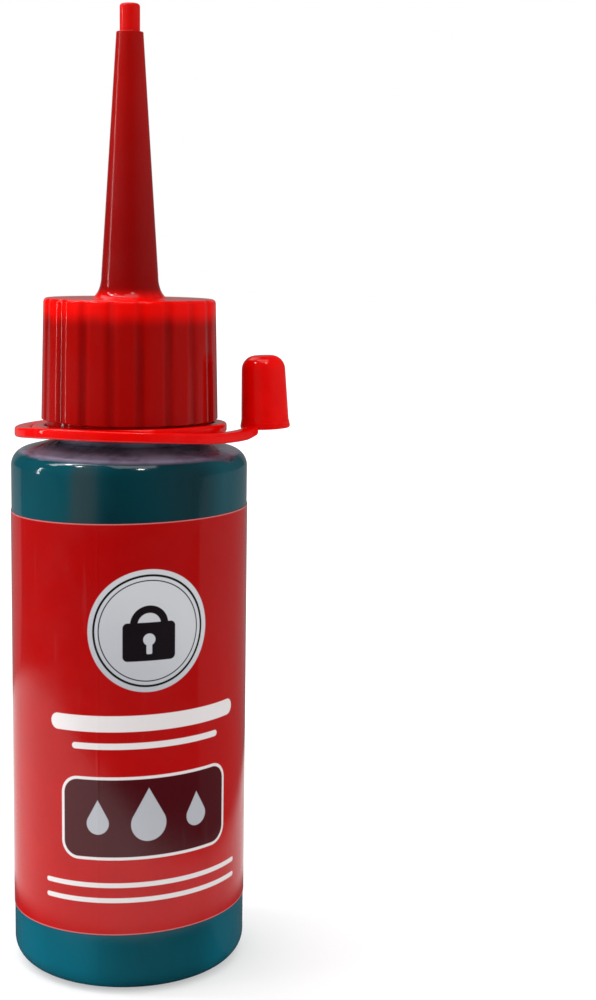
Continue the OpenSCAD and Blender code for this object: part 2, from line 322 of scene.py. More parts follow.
def piece(name, shells, body, replaces=(), values=None, sharp=32.0):
    """A mesh object from shells of (points in mm, faces), which rides on a body and may stand for
    CAD nodes. values holds one number a point, or three, under the name that materials read them
    by. Edges that turn by more than sharp degrees stay crisp."""
    points, faces, first = [], [], 0
    for grid, quad in shells:
        p = grid.reshape(-1, 3)
        points.append(p)
        faces.append((quad if signed_volume(p, quad) > 0 else quad[:, ::-1]) + first)
        first += len(p)
    points, faces = np.concatenate(points) * MM, np.concatenate(faces)
    mesh = bpy.data.meshes.new(name)
    mesh.from_pydata(points.tolist(), [], faces.tolist())
    for key, array in (values or {}).items():
        kind, field = ("FLOAT", "value") if array.ndim == 1 else ("FLOAT_VECTOR", "vector")
        mesh.attributes.new(key, kind, "POINT").data.foreach_set(field, array.astype(np.float32).ravel())
    close_poles(mesh)
    mesh.polygons.foreach_set("use_smooth", [True] * len(mesh.polygons))
    mesh.set_sharp_from_angle(angle=np.radians(sharp))
    made = bpy.data.objects.new(name, mesh)
    bpy.context.scene.collection.objects.link(made)
    if body:
        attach(made, body)
    if replaces:
        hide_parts(*replaces)
    span = points.max(0) - points.min(0)
    print(f"{name}: {len(faces) * 2} triangles, {np.round(span / MM, 2)} mm")
    return made


def close_poles(mesh):
    """Merges points that lie on each other, where a grid runs into a pole."""
    work = bmesh.new()
    work.from_mesh(mesh)
    bmesh.ops.remove_doubles(work, verts=work.verts, dist=1e-8)
    bmesh.ops.dissolve_degenerate(work, dist=1e-9, edges=work.edges)
    work.to_mesh(mesh)
    work.free()


# %% [markdown]
# Most pieces are turned. An outline of radius and height goes round the axis, and a function may
# push each point in or out as it goes, which makes the cap's flutes and the bottle's mould seam.


# %% Outlines and turned shapes
def arc(centre_r, centre_z, radius, start, end, steps=10):
    """Points of a round stretch: the centre plus radius times (cos a, sin a), from one angle to
    another."""
    a = np.radians(np.linspace(start, end, steps + 1))
    return np.stack([centre_r + radius * np.cos(a), centre_z + radius * np.sin(a)], -1)


def straight(start, end, steps=1):
    """Evenly spaced points from start to end."""
    return np.linspace(start, end, steps + 1)


def outline(*stretches):
    """Stretches put end to end, with the points that repeat left out."""
    joined = np.concatenate([np.atleast_2d(np.array(s, float)) for s in stretches])
    keep = np.ones(len(joined), bool)
    keep[1:] = np.linalg.norm(np.diff(joined, axis=0), axis=1) > 1e-5
    return joined[keep]


def turned(profile, angles, push=None, closed=True):
    """x = r cos a, y = r sin a, z = z for each angle a and outline point (r, z), where push(a, z, j)
    may be added to r."""
    a = np.radians(angles)[:, None]
    r = np.broadcast_to(profile[:, 0], (len(angles), len(profile))).copy()
    z = np.broadcast_to(profile[:, 1], r.shape)
    if push is not None:
        r = r + push(np.degrees(a), z, np.arange(len(profile))[None, :])
    grid = np.stack([r * np.cos(a), r * np.sin(a), z], -1)
    return grid, quads(len(angles), len(profile), True, closed)


def about_seam(seam, width=1.6, count=25):
    """Closely spaced angles on both sides of a mould seam, so that its fine ridge comes out smooth."""
    return seam + np.linspace(-width, width, count)


def ring_of_angles(count, seams=()):
    """Even angles all round, with more of them about each seam."""
    even = np.arange(count) * 360 / count
    return np.unique(np.round(np.concatenate([even, *map(about_seam, seams)]) % 360, 4))


print("an arc of 3 steps:", np.round(arc(0, 0, 1, 0, 90, 3), 2).tolist())

# %% [markdown]
# ## The bottle
# A blow-moulded bottle is one skin of polyethylene. Its mould closes on it from two sides and
# leaves a fine seam up each side. The foot is hollowed slightly, so that the bottle stands on a
# ring. The outline below goes up the outside, over the rim, and back down the inside, so the wall
# has its real thickness where the mouth is open.

# %% Bottle outline
BOTTLE_R, SIDE_H, WALL = 17.0, 73.5, 0.9
FOOT_ROUND, SHOULDER_ROUND, SLOPE = 3.1, 2.5, 14.0
NECK_R, NECK_BORE, RIM_Z, FLOOR_T = 10.0, 8.9, 94.83, 1.1

turn_r = BOTTLE_R - SHOULDER_ROUND
slope_r = turn_r + SHOULDER_ROUND * np.sin(np.radians(SLOPE))
slope_z = SIDE_H + SHOULDER_ROUND * np.cos(np.radians(SLOPE))
inner_round = SHOULDER_ROUND - WALL
neck_foot = (NECK_R, slope_z + (slope_r - NECK_R) * np.tan(np.radians(SLOPE)))
inner_foot = (NECK_BORE, neck_foot[1] - WALL)
bottle_outline = outline(
    [(0.0, 0.45)],
    arc(11.0, 0.25, 0.2, 90, 40, 4),
    arc(13.2, 0.22, 0.22, 220, 270, 4),
    arc(BOTTLE_R - FOOT_ROUND, FOOT_ROUND, FOOT_ROUND, -90, 0, 14),
    straight((BOTTLE_R, FOOT_ROUND), (BOTTLE_R, SIDE_H), 12),
    arc(turn_r, SIDE_H, SHOULDER_ROUND, 0, 90 - SLOPE, 16),
    straight((slope_r, slope_z), (NECK_R + 0.6, neck_foot[1] - 0.16), 3),
    arc(NECK_R + 0.6, neck_foot[1] + 0.42, 0.6, 255, 180, 6),
    straight((NECK_R, neck_foot[1] + 1.0), (NECK_R, RIM_Z - 0.25), 3),
    arc(NECK_R - 0.25, RIM_Z - 0.25, 0.25, 0, 90, 4),
    arc(NECK_BORE + 0.2, RIM_Z - 0.2, 0.2, 90, 180, 4),
    straight((NECK_BORE, RIM_Z - 0.4), inner_foot, 3),
    arc(turn_r, SIDE_H, inner_round, 90 - SLOPE, 0, 10),
    straight((BOTTLE_R - WALL, SIDE_H), (BOTTLE_R - WALL, FOOT_ROUND + 0.3), 4),
    arc(BOTTLE_R - FOOT_ROUND, FLOOR_T + FOOT_ROUND - WALL, FOOT_ROUND - WALL, 0, -90, 8),
    [(0.0, FLOOR_T)],
)
print("bottle outline:", len(bottle_outline), "points, shoulder ends at", round(float(neck_foot[1]), 2))

# %% [markdown]
# The seam is a ridge a few hundredths of a millimetre high. It stays lower under the label, where
# the film is pressed over it.


# %% Bottle seams
SEAMS, SEAM_WIDTH, SEAM_SPAN = (255.0, 75.0), 0.7, (1.2, 75.5)
SEAM_HEIGHT, COVERED_HEIGHT, COVERED_SPAN = 0.022, 0.010, (8.0, 68.5)
OUTSIDE_POINTS = 60


def seam_bell(angle):
    """1 on a mould seam, falling off like a bell with the degrees to the nearest seam."""
    off = np.min([np.abs((angle - s + 180) % 360 - 180) for s in SEAMS], axis=0)
    return np.exp(-((off / SEAM_WIDTH) ** 2))


def bottle_push(angle, z, number):
    """The bell times the ridge's height, only on the outside, lower where the label covers it."""
    covered = (z > COVERED_SPAN[0]) & (z < COVERED_SPAN[1])
    outside = (z > SEAM_SPAN[0]) & (z < SEAM_SPAN[1]) & (number < OUTSIDE_POINTS)
    return seam_bell(angle) * np.where(covered, COVERED_HEIGHT, SEAM_HEIGHT) * outside


bottle_grid = turned(bottle_outline, ring_of_angles(240, SEAMS), bottle_push, closed=False)
print("seam ridge:", SEAM_HEIGHT, "mm high, under the label", COVERED_HEIGHT, "mm")

# %% [markdown]
# A screw thread is a ridge that climbs round the neck. Its section, four-sided and wider at the
# root than at the crest, is carried up a helix, and sinks a little into the wall that carries it.
# The cap's thread is made by the same function, with its crest nearer the axis than its root.

# %% Thread and bottle mesh
PITCH, NECK_CREST, NECK_TURNS, BELOW_RIM = 3.18, 10.85, 1.75, 1.9
ROOT_HALF, CREST_HALF = 0.6, 0.25


def screw(root, crest, start_z, start_angle, turns, sink=0.2):
    """Height grows by the pitch each turn, and the crest rises and fades over the first and last
    eighth of the way."""
    steps = int(turns * 72)
    s = np.linspace(0, 1, steps + 1)
    grow = np.clip(np.minimum(s, 1 - s) / 0.12, 0, 1)
    grow = grow * grow * (3 - 2 * grow)
    inward = 1.0 if root < crest else -1.0
    base = np.full_like(s, root - inward * sink)
    tip = root - inward * 0.1 + (crest - root + inward * 0.1) * grow
    a = np.radians(start_angle + 360 * turns * s)
    r = np.stack([base, tip, tip, base], 1)
    z = start_z + (turns * PITCH * s)[:, None] + np.array([-ROOT_HALF, -CREST_HALF, CREST_HALF, ROOT_HALF])
    grid = np.stack([r * np.cos(a)[:, None], r * np.sin(a)[:, None], z], -1)
    middle = grid.mean(1, keepdims=True)
    ends = np.concatenate([np.repeat(middle[:1], 4, 1), grid, np.repeat(middle[-1:], 4, 1)])
    return ends, quads(steps + 3, 4, False, True)


neck_thread_z = RIM_Z - BELOW_RIM - ROOT_HALF - NECK_TURNS * PITCH
bottle = piece(
    "bottle_shell",
    [bottle_grid, screw(NECK_R, NECK_CREST, neck_thread_z, 0.0, NECK_TURNS)],
    "bottle",
    replaces=["bottle"],
)

# %% [markdown]
# ## The label
# The label is a strip of glossy film that goes once round and laps over its own start at the
# back. It was put on a little askew, so both edges climb towards the right. The strip is a grid:
# one way goes round the bottle, the other up it. Each point also keeps its place on the flat
# label in millimetres, measured from the middle of the front's lower edge, and the print is drawn
# from that.

# %% Label strip
LABEL_Z, LABEL_H, TILT = 8.9, 58.6, 1.65
FILM, GLUE, LIFT, SEAM_LIFT = 0.07, 0.02, 0.005, 0.02
LABEL_MID, LAP, CLIMB = 277.0, 13.0, 3.0
FLAT_R = 17.1


def label_strip(columns=420, rows=40):
    """Angle goes from the lap's start once round and a little further. The radius is the bottle's
    plus the glue, and climbs by one film thickness where the strip laps over its start. Height
    follows the askew edges."""
    far = LABEL_MID + 180 + LAP / 2
    angle = np.sort(np.concatenate([
        np.linspace(LABEL_MID - 180 - LAP / 2, far, columns),
        about_seam(SEAMS[0]),
        about_seam(SEAMS[1] + 360),
    ]))
    lap = np.clip((angle - (far - LAP - CLIMB)) / CLIMB, 0, 1)
    ridge = seam_bell(angle) * SEAM_LIFT
    inner = BOTTLE_R + GLUE + lap * lap * (3 - 2 * lap) * (FILM + LIFT) + ridge * (1 - lap)
    up = np.linspace(0, LABEL_H, rows)
    loop = np.concatenate([up, up[::-1]])
    thick = np.concatenate([np.full(rows, FILM), np.zeros(rows)])
    r = inner[:, None] + thick[None, :]
    a = np.radians(angle)[:, None]
    x, y = r * np.cos(a), r * np.sin(a)
    z = LABEL_Z + loop[None, :] + x * np.tan(np.radians(TILT))
    flat = np.stack([
        np.broadcast_to(np.radians(angle - LABEL_MID)[:, None] * FLAT_R, x.shape),
        np.broadcast_to(loop[None, :], x.shape),
        np.zeros(x.shape),
    ], -1)
    grid = np.stack([x, y, z], -1)
    middle = np.repeat(grid.mean(1, keepdims=True), 2 * rows, 1)
    grid = np.concatenate([middle[:1], grid, middle[-1:]])
    flat = np.concatenate([flat[:1], flat, flat[-1:]])
    return (grid, quads(len(grid), 2 * rows, False, True)), flat.reshape(-1, 3)


strip, flat_place = label_strip()
label = piece("label_film", [strip], "bottle", ["label"], {"flat_mm": flat_place})

# %% [markdown]
# ## The cap and its nozzle
# The cap is one moulding of clear-red plastic: a skirt with 19 flutes that a hand can grip, a
# flat top, a long hollow cone and a thin outlet tube. Its outline is one closed loop through the
# outside and the inside. The flutes are pressed in by a function of the angle: a shallow bowl
# with soft shoulders, repeated 19 times, that acts only on the skirt's outside.

# %% Cap outline
SKIRT_Z, CAP_TOP, ROOF_Z, STEP_Z, OUTLET_Z = 80.18, 97.38, 95.88, 134.38, 138.23
CAP_R, CAP_TOP_R, CAP_BORE, SPIGOT_R, SPIGOT_Z = 12.675, 12.3, 11.05, 11.95, 77.98
CONE_R, TIP_R, CONE_WALL, OUTLET_R, HOLE_R = 4.25, 1.9, 0.95, 1.42, 0.5
CONE_FOOT_H, CONE_FOOT_W = 3.2, 1.7

cone_at = CONE_R + (TIP_R - CONE_R) * CONE_FOOT_H / (STEP_Z - CAP_TOP)
bend = np.radians(np.linspace(270, 180, 15))
cone_foot = np.stack([
    cone_at + CONE_FOOT_W + CONE_FOOT_W * np.cos(bend),
    CAP_TOP + CONE_FOOT_H + CONE_FOOT_H * np.sin(bend),
], -1)
skirt = outline(
    arc(CAP_R - 0.12, SKIRT_Z + 0.12, 0.12, -90, 0, 3),
    straight((CAP_R, SKIRT_Z + 0.3), (CAP_TOP_R, CAP_TOP - 0.6), 14),
    arc(CAP_TOP_R - 0.6, CAP_TOP - 0.6, 0.6, 2, 90, 10),
)
cap_outline = outline(
    [(SPIGOT_R, SPIGOT_Z), (SPIGOT_R + 0.25, SPIGOT_Z + 0.22), (SPIGOT_R + 0.25, SPIGOT_Z + 0.45)],
    [(SPIGOT_R, SPIGOT_Z + 0.45), (SPIGOT_R, SKIRT_Z)],
    skirt,
    straight((CAP_TOP_R - 0.7, CAP_TOP), cone_foot[0], 4),
    cone_foot,
    straight(cone_foot[-1], (TIP_R, STEP_Z - 0.1), 16),
    arc(TIP_R - 0.1, STEP_Z - 0.1, 0.1, 0, 90, 3),
    arc(OUTLET_R + 0.1, STEP_Z + 0.1, 0.1, 270, 180, 3),
    straight((OUTLET_R, STEP_Z + 0.2), (OUTLET_R, OUTLET_Z - 0.45), 3),
    arc(OUTLET_R - 0.45, OUTLET_Z - 0.45, 0.45, 0, 90, 8),
    arc(HOLE_R + 0.08, OUTLET_Z - 0.08, 0.08, 90, 180, 3),
    straight((HOLE_R, OUTLET_Z - 0.2), (HOLE_R, STEP_Z), 2),
    straight((TIP_R - CONE_WALL, STEP_Z - CONE_WALL), (CONE_R - CONE_WALL, ROOF_Z), 10),
    straight((CAP_BORE - 0.3, ROOF_Z), (CAP_BORE, ROOF_Z - 0.3), 2),
    straight((CAP_BORE, ROOF_Z - 0.4), (CAP_BORE, SPIGOT_Z + 0.1), 8),
)
print("cap outline:", len(cap_outline), "points, cone foot radius", round(float(cone_foot[0][0]), 2))

# %% [markdown]
# A flute is 2.5 mm wide and a fifth of a millimetre deep. Its share of the depth falls off from
# the middle of the nearest flute like a wave, so that its edges are soft. The cap's thread runs
# a good millimetre below the neck's, and hooks under it.

# %% Cap mesh
FLUTES, FLUTE_TURN, FLUTE_DEPTH, FLUTE_HALF = 19, 6.7, 0.20, 1.25
CAP_CREST, CAP_TURNS, CAP_THREAD_AT, THREAD_DROP = 10.2, 1.5, 45.0, 1.05


def flute_share(angle):
    """1 in the middle of a flute, 0 on a rib: a raised cosine of the distance over the half width."""
    pitch = 360 / FLUTES
    away = np.abs((angle - (270 + FLUTE_TURN) + pitch / 2) % pitch - pitch / 2)
    across = np.radians(away) * CAP_R / FLUTE_HALF
    return 0.5 + 0.5 * np.cos(np.pi * np.clip(across, -1, 1))


fade_r = CAP_TOP_R - 0.62
cap_r, cap_z = cap_outline.T
on_skirt = (cap_z >= SKIRT_Z) & (cap_z < CAP_TOP + 0.001) & (cap_r > fade_r)
flute_fade = np.where(on_skirt, np.clip((cap_r - fade_r) / 0.5, 0, 1), 0.0)


def cap_push(angle, z, number):
    """The flutes press the skirt in by their depth, and fade out over the rounded top edge."""
    return -FLUTE_DEPTH * flute_share(angle) * flute_fade[number]


cap_angles = np.arange(FLUTES * 24) * 360 / (FLUTES * 24) + FLUTE_TURN - 90
cap_grid = turned(cap_outline, cap_angles, cap_push)
cap_thread_z = neck_thread_z - THREAD_DROP + CAP_THREAD_AT / 360 * PITCH
cap_thread = screw(CAP_BORE, CAP_CREST, cap_thread_z, CAP_THREAD_AT, CAP_TURNS)
rib = np.concatenate([
    (1 - flute_share(cap_angles[:, None]) * np.ones(len(cap_outline))).ravel(),
    np.ones(cap_thread[0].size // 3),
])
cap = piece(
    "nozzle_cap_moulding",
    [cap_grid, cap_thread],
    "cap",
    ["nozzle_cap"],
    {"rib": rib},
    sharp=40,
)

# %% [markdown]
# ## The ring under the cap
# The ring holds the strap. It is a flat band with a rounded top edge, and a short block at the
# back joins the strap's root to it. The block is a second closed shell: a bar that is swept
# round the ring, whose outer side eases out to the strap. The ring is loose on the cap, so it
# hangs about two degrees askew, lowest at the back left.

# %% Ring and root
RING_R, RING_BORE, RING_SLACK, RING_Z, RING_TOP = 14.0, 12.01, 0.44, 78.53, 79.93
STRAP_R, STRAP_W, STRAP_T, STRAP_ROUND, STRAP_Z = 15.425, 2.05, 1.45, 0.35, 79.107
BLOCK_START, BLOCK_END, EASE_ANGLE, BLOCK_W = 88.0, 100.7, 6.0, 2.0
HANG, HANG_X, HANG_Y = -0.434, 0.0206, -0.031


def hang(x, y):
    """How far the loose ring sits above its level place, in mm: a plane that falls to the back and
    to the left."""
    return HANG + HANG_X * x + HANG_Y * y


def bar_section(width, thick, radius, steps=5):
    """A bar's outline with rounded corners, about its middle: four quarter rounds, each at its corner."""
    w, t = width / 2 - radius, thick / 2 - radius
    corners = ((1, 1, 0), (-1, 1, 90), (-1, -1, 180), (1, -1, 270))
    return np.concatenate([arc(sx * w, sz * t, radius, a, a + 90, steps) for sx, sz, a in corners])


ring_outline = outline(
    arc(RING_BORE + RING_SLACK, RING_Z + 0.15, 0.15, 180, 270, 3),
    arc(RING_R - 0.3, RING_Z + 0.3, 0.3, -90, 0, 6),
    arc(RING_R - 0.45, RING_TOP - 0.45, 0.45, 0, 90, 8),
    arc(RING_BORE + RING_SLACK, RING_TOP - 0.15, 0.15, 90, 180, 3),
)


def root_block(steps=24):
    """A bar swept round the back. Its inner side lies in the ring, and its outer side follows a
    quarter of an ellipse, over six degrees, out to the strap's outer side."""
    angle = np.linspace(BLOCK_START, BLOCK_END, steps)
    eased = BLOCK_START + EASE_ANGLE
    ease = np.sqrt(np.clip(1 - ((eased - angle) / EASE_ANGLE) ** 2, 0, 1))
    ease = np.where(angle > eased, 1.0, ease)
    outer = RING_R - 0.4 + (STRAP_R + STRAP_W / 2 - RING_R + 0.4) * ease
    inner = np.full(steps, RING_R - 0.8)
    shape = bar_section(BLOCK_W, STRAP_T, STRAP_ROUND)
    share = (shape[:, 0] + BLOCK_W / 2) / BLOCK_W
    r = inner[:, None] + (outer - inner)[:, None] * share
    a = np.radians(angle)[:, None]
    x, y = r * np.cos(a), r * np.sin(a)
    grid = np.stack([x, y, STRAP_Z + shape[:, 1] + hang(x, y)], -1)
    middle = np.repeat(grid.mean(1, keepdims=True), len(shape), 1)
    return np.concatenate([middle[:1], grid, middle[-1:]]), quads(steps + 2, len(shape), False, True)


ring_grid, ring_faces = turned(ring_outline, ring_of_angles(220))
ring_grid[..., 2] += hang(ring_grid[..., 0], ring_grid[..., 1])
ring_shells = [(ring_grid, ring_faces), root_block()]
ring = piece("tether_ring_moulding", ring_shells, "ring", ["tether_ring"])
print("the ring's back left is moved by", round(hang(-9.9, 9.9), 2), "mm")

# %% [markdown]
# ## The strap
# The strap is a bar with rounded edges. It leaves the ring at the back, runs round the left and
# the front, and then straight on to the tip cap. It is soft, so it sags: at the back with the
# ring, and at the right under the tip cap's weight, where its end curls up to the cap's rim. In
# the CAD it is a chain of links with a hinge between each two. Here it is cut in the middle of
# each link instead, and each stretch curves across one hinge, so the strap doesn't kink at the
# hinges. At full bend a slight ripple is left.


# %% Strap path
ROOT_ANGLE, LINK_ANGLE, ARC_LINKS = 101.0, 20.0, 11
SAG = np.array([
    (101, -0.96), (135, -0.97), (165, -0.92), (185, -0.76), (200, -0.48), (214, -0.20), (228, 0.03),
    (242, 0.11), (260, 0.10), (275, 0.04), (288, -0.11), (298, -0.30), (306, -0.47), (315, -0.65),
    (322, -0.74), (329, -0.80), (336, -0.82), (344, -0.76), (349, -0.64), (353, -0.46),
])


def sag(length):
    """Height above the level path, in mm: a smooth curve through the listed places, each an angle
    and a height. Between two of them it is a cubic whose slope at each is the slope between its
    two neighbours."""
    at, low = np.radians(SAG[:, 0] - ROOT_ANGLE) * STRAP_R, SAG[:, 1]
    slope = np.gradient(low, at)
    k = np.clip(np.searchsorted(at, length) - 1, 0, len(at) - 2)
    step = at[k + 1] - at[k]
    t = np.clip((length - at[k]) / step, 0, 1)
    rise = t * t * (3 - 2 * t)
    lean = slope[k] * t * (1 - t) ** 2 - slope[k + 1] * t * t * (1 - t)
    return low[k] + (low[k + 1] - low[k]) * rise + step * lean


def strap_path(length):
    """The strap's middle line at lengths from the root: on the circle first, then straight along
    its tangent. Gives the point and the way across, outwards."""
    whole = np.radians(ARC_LINKS * LINK_ANGLE) * STRAP_R
    a = np.radians(ROOT_ANGLE) + np.minimum(length, whole) / STRAP_R
    rest = np.maximum(length - whole, 0)[:, None]
    across = np.stack([np.cos(a), np.sin(a), 0 * a], -1)
    along = np.stack([-np.sin(a), np.cos(a), 0 * a], -1)
    point = across * STRAP_R + along * rest + [0, 0, STRAP_Z]
    point[:, 2] += sag(length)
    return point, across


LINK_L = float(np.radians(LINK_ANGLE) * STRAP_R)
ROOT_L, STRAIGHT_L, TAIL_L = 0.75, 4.25, 4.62
arc_l = LINK_L * ARC_LINKS
hinges = [LINK_L * k for k in range(ARC_LINKS + 1)] + [arc_l + STRAIGHT_L]
cuts = [-ROOT_L] + [LINK_L * (k + 0.5) for k in range(ARC_LINKS)]
cuts += [arc_l + STRAIGHT_L / 2, arc_l + STRAIGHT_L + TAIL_L]
print("strap from root to tip cap:", round(cuts[-1], 1), "mm, hinges:", len(hinges))

# %% [markdown]
# Each stretch is the bar's section carried along the path between two cuts. The points 0.92 of
# the way from each hinge to the nearer cut on each side are worked out, and nothing uses them.


# %% Strap pieces
DOME_L, CURL_L, WIDEN_L = 0.7, 2.4, 1.8
BEND_SHARE = 0.92


def quarter_round(left, way):
    """The height of a quarter circle over the last way, from the length that is left: 1 before it,
    and a seventh at the very end."""
    return np.sqrt(np.clip(1 - (1 - np.clip(left / way, 0, 1)) ** 2, 0.02, 1))


def strap_stretch(start, end, steps, tail=False):
    """The section at each length: the path's point plus the section's width times across and its
    height upwards. At the tail the rows crowd towards the end, the width grows by the square of
    the way there and closes like a dome, and the underside curls up to the tip cap's rim."""
    s = np.linspace(start, end, steps + 1)
    wide, tall = np.ones(len(s)), np.ones(len(s))
    if tail:
        s = end - (end - s) * np.clip((end - s) / 1.5 + 0.1, 0, 1)
        widen = 1 + 0.35 * np.clip((s - end + WIDEN_L) / 1.1, 0, 1) ** 2
        wide = widen * (0.35 + 0.65 * quarter_round(end - s, DOME_L))
        tall = 0.25 + 0.75 * quarter_round(end - s, CURL_L)
    point, across = strap_path(s)
    shape = bar_section(STRAP_W, STRAP_T, STRAP_ROUND)
    rise = STRAP_T / 2 + (shape[:, 1] - STRAP_T / 2) * tall[:, None]
    grid = (
        point[:, None, :]
        + across[:, None, :] * (shape[:, 0] * wide[:, None])[..., None]
        + np.array([0, 0, 1.0]) * rise[..., None]
    )
    middle = np.repeat(point[:, None, :], len(shape), 1)
    return np.concatenate([middle[:1], grid, middle[-1:]]), quads(steps + 3, len(shape), False, True)


LINKS = ARC_LINKS + 1
strap = []
for k in range(LINKS + 1):
    last = k == LINKS
    made = piece(
        f"strap_stretch_{k + 1}",
        [strap_stretch(cuts[k], cuts[k + 1], 28 if last else 14, last)],
        None,
        [] if last else [f"strap_link_{k + 1}"],
    )
    lead = min(hinges[k] - cuts[k], cuts[k + 1] - hinges[k]) * BEND_SHARE
    ends = strap_path(np.array([hinges[k] - lead, hinges[k] + lead]))[0] * MM
    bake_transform(made)
    strap.append(made)

# %% [markdown]
# ## The tip cap
# The tip cap is a small thimble. It stands upright on the strap's end and leans a little towards
# the bottle. Its outline goes up the outside, over the domed end, and back down the hollow that
# fits the nozzle's tip. It is turned about its own leaning axis, so the grid is made upright and
# then tilted.

# %% Tip cap mesh
TIP_AT, LEAN = np.array([19.602, -0.304, 78.94]), np.radians(2.4)
MOUTH_R, HOLLOW_R, LIP_R, SIDE_R, END_R, DOME_R = 2.62, 2.2, 3.6, 3.45, 3.14, 2.0
DOME_Z, TIP_H, HOLLOW_H = 8.5, 10.5, 9.4

tip_outline = outline(
    arc(MOUTH_R + 0.15, 0.15, 0.15, 180, 270, 3),
    arc(LIP_R - 0.2, 0.2, 0.2, -90, 0, 5),
    arc(LIP_R - 0.25, 0.45, 0.25, 0, 40, 3),
    arc(SIDE_R + 0.4, 1.15, 0.4, 220, 180, 4),
    straight((3.44, 1.2), (3.16, DOME_Z), 6),
    arc(END_R - DOME_R, DOME_Z, DOME_R, 0, 90, 16),
    [(0.0, TIP_H)],
    [(0.0, HOLLOW_H)],
    arc(HOLLOW_R - 0.5, 8.9, 0.5, 90, 0, 5),
    straight((HOLLOW_R, 8.8), (MOUTH_R, 0.3), 6),
)


def tip_cap_grid():
    """The turned outline, tipped about the Y axis by the lean and moved to its place."""
    grid, faces = turned(tip_outline, ring_of_angles(120))
    c, s = np.cos(LEAN), np.sin(LEAN)
    x = c * grid[..., 0] - s * grid[..., 2]
    z = s * grid[..., 0] + c * grid[..., 2]
    return np.stack([x, grid[..., 1], z], -1) + TIP_AT, faces


tip = piece("tip_cap_moulding", [tip_cap_grid()], "tip", ["tip_cap"])

# %% [markdown]
# ## Effects that several finishes share
# Moulded plastic is never perfectly even. Its skin waves a little, because it shrank in the
# mould, and handling leaves it glossier in some places than in others. Both effects are node
# groups, built once and placed in each material with its own values.


# %% Group helpers
def new_group(name, takes):
    """A shader node group with named inputs, and the node inside it that hands them on."""
    group = bpy.data.node_groups.new(name, "ShaderNodeTree")
    for title, kind, value in takes:
        group.interface.new_socket(title, in_out="INPUT", socket_type=kind).default_value = value
    return group, group.nodes.new("NodeGroupInput").outputs


def give(group, results):
    """Names each result as an output of the group and links it."""
    for title, kind, _ in results:
        group.interface.new_socket(title, in_out="OUTPUT", socket_type=kind)
    end = group.nodes.new("NodeGroupOutput")
    for socket, (_, _, value) in zip(end.inputs, results):
        feed(group, socket, value)
    return group


def use(tree, group, **values):
    """Places a group in a material, with its own values by input name. Gives the placed node's outputs."""
    placed = tree.nodes.new("ShaderNodeGroup")
    placed.node_tree = group
    for title, value in values.items():
        feed(tree, placed.inputs[title.replace("_", " ")], value)
    return placed.outputs


def noise(tree, at, scale, detail=2.0, rough=0.5, stretch=(1.0, 1.0, 1.0), turn=0.0):
    """Smooth noise, 0 to 1, over a place that may be stretched along each axis, and turned about
    the upright one."""
    mapped = node(tree, "Mapping")
    feed(tree, mapped.inputs["Vector"], at)
    mapped.inputs["Scale"].default_value = stretch
    mapped.inputs["Rotation"].default_value = (0.0, 0.0, turn)
    made = node(tree, "TexNoise")
    tree.links.new(mapped.outputs[0], made.inputs["Vector"])
    made.inputs["Scale"].default_value = scale
    made.inputs["Detail"].default_value = detail
    made.inputs["Roughness"].default_value = rough
    return made.outputs[0]


# %% Group: moulded skin
def moulded_skin():
    """A normal bent by two noises: slow shrink waves, longer up the piece than round it, and a
    fine orange peel."""
    group, take = new_group("moulded_skin", [
        ("Wave", "NodeSocketFloat", 0.3), ("Peel", "NodeSocketFloat", 0.1),
    ])
    at = node(group, "TexCoord").outputs["Object"]
    wave = noise(group, at, 90.0, 1.0, 0.4, (1.0, 1.0, 0.35))
    peel = noise(group, at, 2200.0, 2.0)
    first = node(group, "Bump")
    feed(group, first.inputs["Strength"], take["Wave"])
    first.inputs["Distance"].default_value = 0.0012
    feed(group, first.inputs["Height"], wave)
    second = node(group, "Bump")
    feed(group, second.inputs["Strength"], take["Peel"])
    second.inputs["Distance"].default_value = 0.00004
    feed(group, second.inputs["Height"], peel)
    feed(group, second.inputs["Normal"], first.outputs[0])
    return give(group, [("Normal", "NodeSocketVector", second.outputs[0])])


skin = moulded_skin()
print(skin.name, "nodes:", len(skin.nodes))


# %% Group: handling
def handling():
    """A roughness between two values that wanders over the surface, with rare fine scuffs that
    are duller still."""
    group, take = new_group("handling", [
        ("Glossy", "NodeSocketFloat", 0.15),
        ("Dull", "NodeSocketFloat", 0.3),
        ("Scuffs", "NodeSocketFloat", 0.1),
    ])
    at = node(group, "TexCoord").outputs["Object"]
    patches = remap(group, noise(group, at, 160.0, 3.0), 0.35, 0.65)
    streaks = remap(group, noise(group, at, 900.0, 1.0, 0.5, (1.0, 1.0, 0.08)), 0.66, 0.74)
    between = calc(group, "SUBTRACT", take["Dull"], take["Glossy"])
    rough = calc(group, "MULTIPLY_ADD", patches, between, take["Glossy"])
    rough = calc(group, "MULTIPLY_ADD", streaks, take["Scuffs"], rough, clamp=True)
    return give(group, [("Roughness", "NodeSocketFloat", rough)])


wear = handling()
print(wear.name, "nodes:", len(wear.nodes))

# %% [markdown]
# ## Teal polyethylene
# The bottle is coloured right through. Its wall lets a little light in, so the dark fluid behind
# it shows as a deeper tone. The front is painted darker than the sides: painted shade, which also
# stands for the dark fluid seen through the wall. Greyer patches on the left are a painted
# reflection. Above the fluid the shoulder's wall is painted a violet grey, a painted reflection of
# the red cap and the pale room, and the neck is clearer and bluer. The surface is smooth but not
# polished, so it mirrors lamps softly. A little more reflection than usual is set on the shader's
# own socket.

# %% Bottle finish
FOOT_FROM_TO, SHOULDER_REFLECTION_FROM_TO, NECK_FROM_TO = (0.022, 0.004), (0.0753, 0.0758), (0.0778, 0.0800)
SHADED_FRONT = (0.216, -0.976, 0.0)

